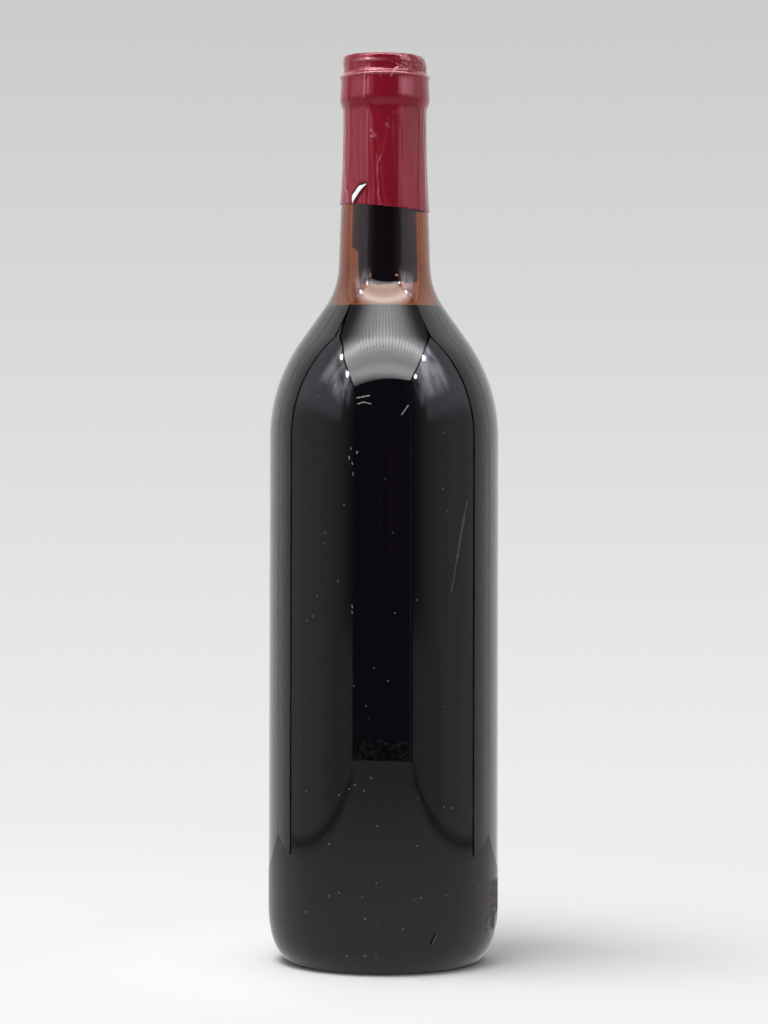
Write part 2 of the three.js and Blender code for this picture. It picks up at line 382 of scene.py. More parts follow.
def seen_at(profile, across, down):
    """The place on a turned surface that shows at a point of the picture."""
    right, up = from_middle(across, down)
    depth = CAMERA_DISTANCE - profile[0][0]
    for _ in range(8):
        x = right * depth
        z = CAMERA_HEIGHT + up * depth
        radius = radius_at(profile, z)
        x = max(-0.999 * radius, min(0.999 * radius, x))
        y = -math.sqrt(radius**2 - x**2)
        depth = CAMERA_DISTANCE + y
    return Vector((x, y, z))


def seen_inside(outside, inside, across, down):
    """The place inside the neck that shows at a picture point, with the bend in the glass."""
    right, up = from_middle(across, down)
    height = CAMERA_HEIGHT + up * (CAMERA_DISTANCE - inside[-1][0])
    outer, inner = radius_at(outside, height), radius_at(inside, height)
    aside = right * CAMERA_DISTANCE
    bent = aside / GLASS_IOR
    angle = math.asin(aside / outer) - math.asin(bent / outer) + math.asin(bent / inner)
    return around(inner, angle, height)


def outward(profile, place):
    """Direction that points out of a turned surface."""
    reach = 0.3 * MM
    slope = (radius_at(profile, place.z + reach) - radius_at(profile, place.z - reach)) / (2 * reach)
    return Vector((place.x, place.y, -slope * math.hypot(place.x, place.y))).normalized()


def spun(points, steps):
    """A line of points spun all round the axis."""
    bm = bmesh.new()
    corners = [bm.verts.new(point) for point in points]
    edges = [bm.edges.new(pair) for pair in zip(corners, corners[1:])]
    bmesh.ops.spin(
        bm, geom=corners + edges, cent=(0, 0, 0), axis=(0, 0, 1), dvec=(0, 0, 0),
        angle=FULL_TURN, steps=steps, use_merge=True, use_duplicate=False,
    )
    return bm


def turned(profile, steps):
    """A profile that starts and ends on the axis, spun into one closed skin."""
    bm = spun([(radius, 0, height) for radius, height in profile], steps)
    bmesh.ops.remove_doubles(bm, verts=bm.verts, dist=MERGE_DISTANCE)
    bmesh.ops.recalc_face_normals(bm, faces=bm.faces)
    return bm


def new_mesh(bm, name, materials):
    mesh = bpy.data.meshes.new(name)
    bm.to_mesh(mesh)
    bm.free()
    for material in materials:
        mesh.materials.append(material)
    return mesh


def new_object(name, data):
    thing = bpy.data.objects.new(name, data)
    bpy.context.scene.collection.objects.link(thing)
    return thing


def to_piece(bm, name, materials, nodes=()):
    """Makes the mesh a piece that rides on the bottle and stands for its CAD nodes."""
    for face in bm.faces:
        face.smooth = True
    piece = new_object(name, new_mesh(bm, name, materials))
    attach(piece, BODY)
    if nodes:
        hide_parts(*nodes)


def math_node(operation, swapped=False):
    """A method of Number that adds a Math node, with itself second when swapped."""
    def method(self, other):
        values = {0: other, 1: self} if swapped else {0: self, 1: other}
        return self.finish.node("ShaderNodeMath", {"operation": operation}, values)

    return method


class Number:
    """A socket in an expression: arithmetic on it adds Math nodes."""

    __add__ = math_node("ADD")
    __radd__ = math_node("ADD", swapped=True)
    __sub__ = math_node("SUBTRACT")
    __rsub__ = math_node("SUBTRACT", swapped=True)
    __mul__ = math_node("MULTIPLY")
    __rmul__ = math_node("MULTIPLY", swapped=True)
    __truediv__ = math_node("DIVIDE")
    __pow__ = math_node("POWER")
    at_least = math_node("MAXIMUM")
    at_most = math_node("MINIMUM")

    def __init__(self, finish, socket):
        self.finish = finish
        self.socket = socket

    def step(self, low, high):
        """0 below low, 1 above high and smooth between them."""
        values = {"Value": self, "From Min": low, "From Max": high}
        return self.finish.node("ShaderNodeMapRange", {"interpolation_type": "SMOOTHSTEP"}, values)


class Finish:
    """Builds one material's nodes."""

    def __init__(self, name, world=None):
        owner = world or bpy.data.materials.new(name)
        owner.use_nodes = True
        self.owner = owner
        self.tree = owner.node_tree
        self.tree.nodes.clear()
        self.output = self.tree.nodes.new("ShaderNodeOutputWorld" if world else "ShaderNodeOutputMaterial")

    def node(self, kind, settings=None, values=None, out=0):
        """Adds a node: first its settings, then the numbers or links of its sockets."""
        node = self.tree.nodes.new(kind)
        for name, value in (settings or {}).items():
            if name == "stops":
                self._stops(node.color_ramp, value)
            else:
                setattr(node, name, value)
        for name, value in (values or {}).items():
            if isinstance(value, Number):
                self.tree.links.new(value.socket, node.inputs[name])
            else:
                node.inputs[name].default_value = value
        return Number(self, node.outputs[out])

    def _stops(self, ramp, stops):
        while len(ramp.elements) < len(stops):
            ramp.elements.new(1)
        for element, (place, shade) in zip(ramp.elements, stops):
            element.position = place
            element.color = (shade, shade, shade, 1)

    def place(self):
        """The piece's own coordinates, and each of them as a number."""
        spot = self.node("ShaderNodeTexCoord", out=3)
        return spot, self.parts(spot)

    def parts(self, spot):
        return [self.node("ShaderNodeSeparateXYZ", None, {0: spot}, out=i) for i in range(3)]

    def noise(self, spot, scale, detail=2, stretch=(1, 1, 1), rough=0.5):
        moved = self.node("ShaderNodeMapping", None, {"Vector": spot, "Scale": stretch})
        values = {"Vector": moved, "Scale": scale, "Detail": detail, "Roughness": rough}
        return self.node("ShaderNodeTexNoise", None, values)

    def mix(self, share, first, second):
        """A colour between two colours."""
        values = {0: share, 6: first, 7: second}
        return self.node("ShaderNodeMix", {"data_type": "RGBA"}, values, out=2)

    def bump(self, height, distance=1, strength=1):
        values = {"Height": height, "Distance": distance, "Strength": strength}
        return self.node("ShaderNodeBump", None, values)

    def attribute(self, name):
        return self.node("ShaderNodeAttribute", {"attribute_name": name}, out=2)

    def surface(self, kind, values):
        """Ends the finish with a shader of this kind, and gives the material or the world."""
        shader = self.node(kind, None, values)
        self.tree.links.new(shader.socket, self.output.inputs["Surface"])
        return self.owner

    def principled(self, values):
        return self.surface("ShaderNodeBsdfPrincipled", values)

    def volume(self, shader):
        self.tree.links.new(shader.socket, self.output.inputs["Volume"])


def solid_colour(colour):
    return (*colour, 1)


def shaded(colour, *factors):
    """The colour times one factor or three, no part past 1, with its alpha."""
    return (*(min(part * factor, 1) for part, factor in zip(colour, factors * 3)), 1)


def glass_finish(settings):
    """Clear amber glass with slow waves from the mould."""
    finish = Finish("amber glass")
    spot, _ = finish.place()
    waves = finish.noise(spot, scale=28, detail=1, stretch=(1, 1, 0.7))
    finish.volume(finish.node("ShaderNodeVolumeAbsorption", None, {
        "Color": solid_colour(settings.glass_colour), "Density": settings.glass_density,
    }))
    return finish.principled({
        "Base Color": WHITE, "Roughness": 0, "IOR": GLASS_IOR, "Transmission Weight": 1,
        "Normal": finish.bump(waves * settings.wave_height),
    })


def wine_finish(settings, name, ior):
    """Nearly black wine. Against glass its surface mirrors little, and in air a little more."""
    finish = Finish(name)
    spot, _ = finish.place()
    cloud = finish.noise(spot, scale=40)
    colour = finish.mix(cloud, shaded(settings.wine_colour, 0.8), shaded(settings.wine_colour, 1.2))
    return finish.principled({"Base Color": colour, "Roughness": 0.02, "IOR": ior})


def cork_finish(settings):
    """Cork stained almost black, with its pores and a wet shine in patches."""
    finish = Finish("wet cork")
    spot, _ = finish.place()
    pores = finish.noise(spot, scale=900, detail=4, stretch=(1, 1, 0.45))
    stain = finish.noise(spot, scale=120, detail=3)
    deep = shaded(settings.cork_colour, 0.5, 0.5, 0.6)
    pale = shaded(settings.cork_colour, 1.5, 1.4, 1.3)
    return finish.principled({
        "Base Color": finish.mix(stain.step(0.35, 0.7), deep, pale), "Roughness": 0.35 + 0.3 * pores,
        "IOR": WET_CORK_IOR, "Normal": finish.bump(pores + stain, distance=0.25 * MM, strength=0.7),
    })


def capsule_finish(settings):
    """Crimson lacquered foil: pale along its creases, bead and ledge with wear and painted highlight, and
    darkened by painted shade in its crumple and round the nick.
    """
    finish = Finish("capsule foil")
    spot, _ = finish.place()
    worn = finish.attribute("worn")
    dark = finish.attribute("dark")
    grain = finish.noise(spot, scale=1500, detail=3)
    blotch = finish.noise(spot, scale=160, detail=3, stretch=(1, 1, 0.4))
    threads = finish.noise(spot, scale=700, detail=2, stretch=(1, 1, 0.05))
    deep = shaded(settings.foil_colour, 0.94, 0.8, 0.85)
    bright = shaded(settings.foil_colour, 1.06, 1.25, 1.15)
    lacquer = finish.mix(blotch.step(0.3, 0.7), deep, bright)
    paled = finish.mix(worn, lacquer, solid_colour(PALE_WEAR_AND_HIGHLIGHT_FOIL))
    height = grain * (0.002 * MM) + threads * (0.012 * MM) + blotch * (0.03 * MM)
    return finish.principled({
        "Base Color": finish.mix(dark, paled, solid_colour(PAINTED_SHADE_FOIL)), "IOR": LACQUER_IOR,
        "Roughness": settings.foil_roughness + 0.1 * blotch, "Metallic": settings.foil_metal,
        "Normal": finish.bump(height),
    })


def drop_finish():
    """Clear drops that catch the light."""
    finish = Finish("wet drop")
    return finish.principled({
        "Base Color": WHITE, "Roughness": 0, "IOR": WINE_IOR, "Transmission Weight": 1,
    })


def film_finish(settings):
    """A film of wine on the bore that only tints: deeper towards the left and right sides, and deepest in a
    streak at each side of the front.
    """
    finish = Finish("wine film")
    spot, (x, y, z) = finish.place()
    ragged = finish.noise(spot, scale=260, detail=3, stretch=(1, 1, 0.3))
    height = z + (6 * MM) * ragged
    low = 1 - height.step(settings.fill_height + 4 * MM, settings.fill_height + 11.5 * MM)
    side = (x * x).step((0.45 * settings.bore_low) ** 2, (0.8 * settings.bore_low) ** 2)
    film = finish.mix(low * (0.3 + 0.7 * side), WHITE, solid_colour(PALE_FILM))
    winding = finish.noise(spot, scale=240, detail=2, stretch=(0.1, 0.1, 1))
    away = (x * x) ** 0.5 + 0.06 * x
    offset = (away - 0.745 * settings.bore_low - (winding - 0.5) * (4 * MM)) / (1.2 * MM)
    deep_streak = (1 - offset * offset).at_least(0) * (1 - y.step(-1 * MM, 1 * MM))
    reach = 1 - height.step(settings.fill_height + 9 * MM, settings.fill_height + 14 * MM)
    tint = finish.mix(deep_streak * reach, film, solid_colour(DEEP_FILM))
    return finish.principled({
        "Base Color": tint, "Roughness": 0, "IOR": FILM_IOR, "Transmission Weight": 1,
    })


def plain_finish(name, colour, roughness, ior=1.5):
    """A dry finish whose shade varies a little."""
    finish = Finish(name)
    spot, _ = finish.place()
    grain = finish.noise(spot, scale=600, detail=3)
    mixed = finish.mix(grain, shaded(colour, 0.75), shaded(colour, 1.25))
    return finish.principled({"Base Color": mixed, "Roughness": roughness + 0.1 * grain, "IOR": ior})


def length_setting(name, description, millimetres):
    default = millimetres * MM
    return bpy.props.FloatProperty(
        name=name, description=description, default=default, unit="LENGTH", precision=5,
    )


def colour_setting(name, description, default):
    return bpy.props.FloatVectorProperty(
        name=name, description=description, default=default, subtype="COLOR", size=3, min=0, max=1,
    )


def share_setting(name, description, default):
    return bpy.props.FloatProperty(name=name, description=description, default=default, min=0, max=1)


class BottleSettings(bpy.types.PropertyGroup):
    """Sizes and colours of the bottle, its wine, cork and capsule."""

    body_radius: length_setting("Body radius", "Outside radius of the body", 38)
    heel_height: length_setting("Heel height", "Height of the soft heel", 20)
    heel_width: length_setting("Heel width", "How far the heel draws in", 10)
    punt_depth: length_setting("Punt depth", "Depth of the hollow under the base", 12)
    shoulder_start: length_setting("Shoulder start", "Height where the shoulder begins", 173.2)
    shoulder_radius: length_setting("Shoulder radius", "Radius of the shoulder's curve", 55.2)
    neck_root_radius: length_setting("Neck root radius", "Radius of the curve from shoulder to neck", 24.9)
    neck_radius: length_setting("Neck radius", "Outside radius at the neck's foot", 15.27)
    wall: length_setting("Wall", "Thickness of the body's wall", 2.8)
    floor: length_setting("Floor", "Thickness of the floor", 5.5)
    bore_low: length_setting("Bore at the neck root", "Inside radius low in the neck", 11.2)
    bore_mouth: length_setting("Bore at the mouth", "Inside radius at the mouth", 9.3)
    wave_height: length_setting("Mould waves", "Height of the slow waves in the glass", 0.035)
    glass_colour: colour_setting("Glass tint", "Colour that the glass lets through", (0.72, 0.36, 0))
    glass_density: bpy.props.FloatProperty(
        name="Glass density", description="How strongly a metre of the glass absorbs", default=390,
    )
    fill_height: length_setting("Fill height", "Level of the wine", 214.7)
    wine_into_wall: length_setting("Wine into the wall", "How far the wine reaches into the glass", 0.15)
    wine_colour: colour_setting("Wine colour", "Colour of the wine", (0.003, 0.0008, 0.0016))
    cork_bottom: length_setting("Cork bottom", "Lower end of the cork", 224.5)
    cork_top: length_setting("Cork top", "Upper end of the cork", 298.3)
    cork_gap: length_setting("Cork gap", "Clearance between cork and bore", 0.1)
    notch_top: length_setting("Notch top", "Top of the broken corner of the cork", 235.4)
    notch_side: length_setting("Notch side", "Distance of the broken corner from the axis", 7.85)
    cork_colour: colour_setting("Cork colour", "Colour of the stained cork", (0.004, 0.0008, 0.0012))
    capsule_gap: length_setting("Capsule gap", "Clearance between glass and capsule", 0.08)
    capsule_wall: length_setting("Capsule wall", "Thickness of the capsule", 0.2)
    foil_colour: colour_setting("Capsule colour", "Colour of the lacquered foil", (0.26, 0.004, 0.017))
    foil_roughness: share_setting("Capsule roughness", "How dull the foil is", 0.1)
    foil_metal: share_setting("Capsule metal", "How much of the metal shines through the lacquer", 0.12)


class StageSettings(bpy.types.PropertyGroup):
    """Brightness of the light tent."""

    key_power: bpy.props.FloatProperty(
        name="Key light", description="Power of the soft light from the upper left front",
        default=7.5, unit="POWER",
    )
    fill: share_setting("Fill", "Even light that matt surfaces get", 0.62)
    dark_front: share_setting("Open front", "Brightness of the tent's open front in mirrors", 0.08)
    floor_shade: share_setting("Floor", "How pale the floor is", 0.87)


class OBJECT_OT_bottle_glass(bpy.types.Operator):
    """Spins the glass: outside, lip, mouth and inside in one closed skin"""

    bl_idname = "object.bottle_glass"
    bl_label = "Glass"

    def execute(self, context):
        size = context.scene.bottle_settings
        ring = size.body_radius - size.heel_width
        punt = dome(ring - STANDING_RING, 0, size.punt_depth, 14)
        lip = [(radius * MM, height * MM) for radius, height in LIP_POINTS]
        edge = arc(LIP_RADIUS - LIP_ROUNDING, LIP_TOP - LIP_ROUNDING, LIP_ROUNDING, 0, math.pi / 2, 6)
        mouth = [(size.bore_mouth + MOUTH_ROUNDING, LIP_TOP), (size.bore_mouth, LIP_TOP - MOUTH_ROUNDING)]
        profile = punt + glass_outside(size) + lip + edge + mouth + cavity(size)[::-1]
        bm = turned(divided(profile, 4 * MM), GLASS_STEPS)
        to_piece(bm, "glass", [glass_finish(size)], ["bottle"])
        return {"FINISHED"}


class OBJECT_OT_bottle_wine(bpy.types.Operator):
    """Spins the wine, which reaches just into the glass and climbs it a little at its rim"""

    bl_idname = "object.bottle_wine"
    bl_label = "Wine"

    def execute(self, context):
        size = context.scene.bottle_settings
        wall = cavity(size)
        side = []
        for i, (radius, height) in enumerate(wall):
            before, after = wall[max(i - 1, 0)], wall[min(i + 1, len(wall) - 1)]
            along = Vector((after[0] - before[0], after[1] - before[1])).normalized()
            radius = radius + along.y * size.wine_into_wall if i else 0
            height = height - along.x * size.wine_into_wall
            if height < size.fill_height:
                side.append((radius, height))
        climb = 0.7 * MM
        rim = radius_at(wall, size.fill_height + climb) + size.wine_into_wall
        reach = 4 * MM
        level = []
        for i in range(13):
            share = i / 12
            level.append((rim - reach * share, size.fill_height + climb * math.exp(-4.5 * share)))
        level += [(rim * (1 - share), size.fill_height) for share in (0.45, 0.7)] + [(0, size.fill_height)]
        bm = turned(divided(side + level, 5 * MM), WINE_STEPS)
        for face in bm.faces:
            inside = math.hypot(*face.calc_center_median().xy) < rim - 0.5 * size.wine_into_wall
            if face.normal.z > 0.3 and face.calc_center_median().z > size.fill_height - MM and inside:
                face.material_index = 1
        against_glass = wine_finish(size, "wine against glass", WINE_ON_GLASS_IOR)
        in_air = wine_finish(size, "wine in air", WINE_IOR)
        to_piece(bm, "wine_fill", [against_glass, in_air], ["wine"])
        return {"FINISHED"}


class OBJECT_OT_bottle_cork(bpy.types.Operator):
    """Spins the cork, breaks its lower left corner off and roughens its lower end"""

    bl_idname = "object.bottle_cork"
    bl_label = "Cork"

    def execute(self, context):
        size = context.scene.bottle_settings
        low_radius, low_height = cavity(size)[-1]
        high_height = LIP_TOP - MOUTH_ROUNDING

        def bore(height):
            share = clamped((height - low_height) / (high_height - low_height))
            return low_radius + (size.bore_mouth - low_radius) * share - size.cork_gap

        end = 0.7 * MM
        span = size.cork_top - size.cork_bottom - 2 * end
        side = [size.cork_bottom + end + i * span / 70 for i in range(71)]
        end_shares = (0, 0.25, 0.5, 0.7, 0.85, 0.95)
        low = [(bore(size.cork_bottom) * share, size.cork_bottom) for share in end_shares]
        high = [(bore(size.cork_top) * share, size.cork_top) for share in (0.95, 0.5, 0)]
        bm = turned(low + [(bore(height), height) for height in side] + high, CORK_STEPS)
        for vertex in bm.verts:
            self.roughen(vertex.co, size)
        bmesh.ops.recalc_face_normals(bm, faces=bm.faces)
        for face in bm.faces:
            if face.normal.z < -0.25 and face.calc_center_median().z < size.cork_bottom + 3 * MM:
                face.material_index = 1
        finishes = [cork_finish(size), plain_finish("cork end", size.cork_colour, 0.8, ior=1)]
        to_piece(bm, "cork_plug", finishes, ["cork"])
        return {"FINISHED"}

    def roughen(self, place, size):
        """Uneven lower end, and the broken corner with its ragged side and top."""
        low = max(0, 1 - (place.z - size.cork_bottom) / (9 * MM))
        ragged = noise.noise(Vector((place.x, place.y, 0)) * 260 + Vector((3, 1, 7)))
        place.z += low * (1.2 * ragged + (0.4 * place.x + 1.2 * place.y) / size.bore_low) * MM
        notch_top = size.notch_top + 1.4 * MM * noise.noise(Vector((place.x * 220, place.y * 220, 4)))
        side = size.notch_side + 0.45 * MM * noise.noise(Vector((place.y * 300, place.z * 200, 9)))
        if place.z < notch_top and place.x < -side:
            place.x = -side


class OBJECT_OT_bottle_capsule(bpy.types.Operator):
    """Spins the capsule, presses its creases and wrinkles in and gives the foil its thickness"""

    bl_idname = "object.bottle_capsule"
    bl_label = "Capsule"

    def execute(self, context):
        size = context.scene.bottle_settings
        outside = capsule_outside(size)
        profile = divided(outside, FINEST_STEP) + [(0, CROWN_MIDDLE)]
        bm = spun([(0, -radius, height) for radius, height in profile], CAPSULE_STEPS)
        bmesh.ops.remove_doubles(bm, verts=bm.verts, dist=MERGE_DISTANCE)
        worn = bm.verts.layers.float.new("worn")
        dark = bm.verts.layers.float.new("dark")
        lines = self.unrolled(outside, CREASES)
        facets = self.unrolled(outside, FACETS)
        nick = [[self.flat(outside, *point) for point in pair] for pair in NICK]
        for vertex in bm.verts:
            paleness, shade = self.press(vertex.co, lines, facets, nick)
            vertex[worn] = paleness
            vertex[dark] = shade
        bmesh.ops.recalc_face_normals(bm, faces=bm.faces)
        bmesh.ops.solidify(bm, geom=bm.faces, thickness=size.capsule_wall)
        to_piece(bm, "capsule_foil", [capsule_finish(size)], ["capsule"])
        self.lift_nick(outside, nick)
        return {"FINISHED"}

    def flat(self, outside, across, down):
        """A picture point on the capsule as a place on the unrolled foil."""
        place = seen_at(outside, across, down)
        return Vector((math.atan2(place.x, -place.y) * math.hypot(place.x, place.y), place.z))

    def unrolled(self, outside, creases):
        """The creases with their picture points moved onto the unrolled foil."""
        lines = []
        for points, rise, width, last in creases.values():
            path = [self.flat(outside, across, down) for across, down in points]
            lines.append((path, rise * MM, width * MM, last))
        return lines

    def distance(self, spot, path):
        """Distance from a place on the unrolled foil to a line, and how far along it is."""
        nearest, share = 1.0, 0.0
        for i, (start, end) in enumerate(zip(path, path[1:])):
            along = end - start
            part = clamped((spot - start).dot(along) / along.length_squared)
            gap = (spot - start - along * part).length
            if gap < nearest:
                nearest, share = gap, (i + part) / (len(path) - 1)
        return nearest, share

    def press(self, place, lines, facets, nick):
        """Moves one point of the foil, and gives how pale it is painted there, with wear and painted
        highlight, and how much painted shade it gets.
        """
        radius = math.hypot(place.x, place.y)
        if radius < 0.5 * MM:
            return 0, 0
        angle = math.atan2(place.x, -place.y)
        height = place.z
        spot = Vector((angle * radius, height))
        ring = around(1, angle, 0)
        rise, worn = self.crease(spot, lines, facets)
        rise += self.wrinkle(ring, height)
        crumple, dark = clamped((height - CRUMPLE_START) / MM), 0
        if crumple:
            right = 0.2 + 0.8 * clamped((math.sin(angle) + 0.05) / 0.5)
            fine = noise.noise(ring * 34 + Vector((0, 9, height * 1300)))
            coarse = noise.noise(ring * 12 + Vector((2, 0, height * 520)))
            mottle = noise.noise(ring * 44 + Vector((7, 3, height * 1700)))
            rise += crumple * right * (0.15 * fine + 0.14 * coarse) * MM
            # Painted highlight on the raised crumple of the right half
            worn = max(worn, 0.35 * crumple * right * max(0, fine + coarse - 0.3))
            # Painted shade mottled through the crumple of the right half
            dark = crumple * right * min(max(0, mottle - 0.1) * 1.5, 0.5)
        spikes = max(0, noise.noise(ring * 48) + 0.1)
        front = bell(math.degrees(angle) + 22, 20)
        bead = bell(height - BEAD_HEIGHT, 0.45 * MM)
        ledge = bell(height - LEDGE_HEIGHT, 0.35 * MM) * front
        lobe = bell(height - LOBE_HEIGHT, 0.4 * MM) * front
        rise += (0.25 * bead * spikes + 0.2 * ledge * (1 + spikes) + 0.12 * lobe) * MM
        # Painted highlight along the bead all round, and along the ledge and the lobe at the front left,
        # where the light falls
        worn = max(worn, bead * (0.25 + 0.5 * spikes), 0.45 * lobe, ledge * (0.3 + 0.5 * spikes))
        gap, share = self.distance(spot, [(left + right) / 2 for left, right in nick])
        if gap < 3 * MM:
            left, right = self.nick_edges(nick, share)
            edge = (right - left).length / 2 + 0.16 * MM
            outline = bell(max(gap - edge, 0), 0.22 * MM)
            rise -= 0.12 * MM * outline
            # Painted shade in a thin outline round the lifted nick
            dark = max(dark, outline)
        place.xy *= (radius + rise) / radius
        self.bend(place, angle, radius, height)
        return worn, dark

    def crease(self, spot, lines, facets):
        """How far the creases lift the foil at a place, and how pale they paint it, partly wear and partly
        painted highlight.
        """
        rise, worn = 0, 0
        for path, lift, half_width, paleness in lines:
            if abs(spot.x - path[0].x) > 6 * MM:
                continue
            gap, _ = self.distance(spot, path)
            if gap < 4 * half_width:
                rise += lift * bell(gap, half_width)
                worn = max(worn, paleness * bell(gap, 0.6 * half_width))
        for path, lift, reach, side in facets:
            gap, _ = self.distance(spot, path)
            if gap < 5 * reach:
                on_facet = (path[-1] - path[0]).cross(spot - path[0]) * side > 0
                rise += lift * (math.exp(-gap / reach) if on_facet else bell(gap, 0.25 * MM))
        return rise, worn

    def wrinkle(self, ring, height):
        """The long soft wrinkles, deeper on the neck than on the band."""
        depth = noise.noise(ring * 14 + Vector((0, 0, height * 45)))
        depth += 0.5 * noise.noise(ring * 37 + Vector((5, 0, height * 60)))
        on_neck = 1 - clamped((height - NECK_END) / (3 * MM))
        return depth * (0.035 + 0.075 * on_neck) * MM

    def bend(self, place, angle, radius, height):
        """Slants the lower edge, draws the crown's right corner in and puckers its top."""
        right = math.sin(angle)
        tilt = -1.3 * right - 0.5 * math.cos(angle) + 0.12 * noise.noise(around(8, angle, 0))
        place.z += tilt * MM * clamped((SLANT_TOP - height) / (13 * MM))
        corner = clamped((height - CORNER_START) / (3.4 * MM)) ** 1.5
        place.xy *= 1 - 0.08 * corner * max(0, right) ** 2
        if height > PUCKER_START:
            sides = min(radius / (13 * MM), 1) * abs(right) ** 1.5
            place.z += (0.5 if right < 0 else 0.2) * sides * MM
            place.z -= 0.25 * MM * abs(noise.noise(around(9, angle, radius * 300)))

    def nick_edges(self, nick, share):
        """The left and the right edge of the nick at a share of its length."""
        spread = min(share * (len(nick) - 1), len(nick) - 1.001)
        low, high = nick[int(spread)], nick[int(spread) + 1]
        return [low[k].lerp(high[k], spread - int(spread)) for k in range(2)]

    def lift_nick(self, outside, nick):
        """The pale flap that stands a little off the foil: bare foil, made pure white as a painted
        highlight.
        """
        bm = bmesh.new()
        rows = 15
        sides = []
        for i in range(rows + 1):
            left, right = self.nick_edges(nick, i / rows)
            row = []
            for k, corner in enumerate((left, (left + right) / 2, right)):
                radius = radius_at(outside, corner.y) + (0.16 + 0.42 * k) * MM
                row.append(bm.verts.new(around(radius, corner.x / radius, corner.y)))
            sides.append(row)
        for low, high in zip(sides, sides[1:]):
            for k in range(2):
                bm.faces.new((low[k], low[k + 1], high[k + 1], high[k]))
        bmesh.ops.recalc_face_normals(bm, faces=bm.faces)
        for face in bm.faces:
            if face.normal.y > 0:
                face.normal_flip()
        bmesh.ops.solidify(bm, geom=bm.faces, thickness=0.14 * MM)
        # The flap's white is partly bare foil and partly a painted highlight
        bare = plain_finish("bare foil", (1.3, 1.3, 1.3), 0.5, ior=BARE_FOIL_IOR)
        to_piece(bm, "capsule_nick", [bare])


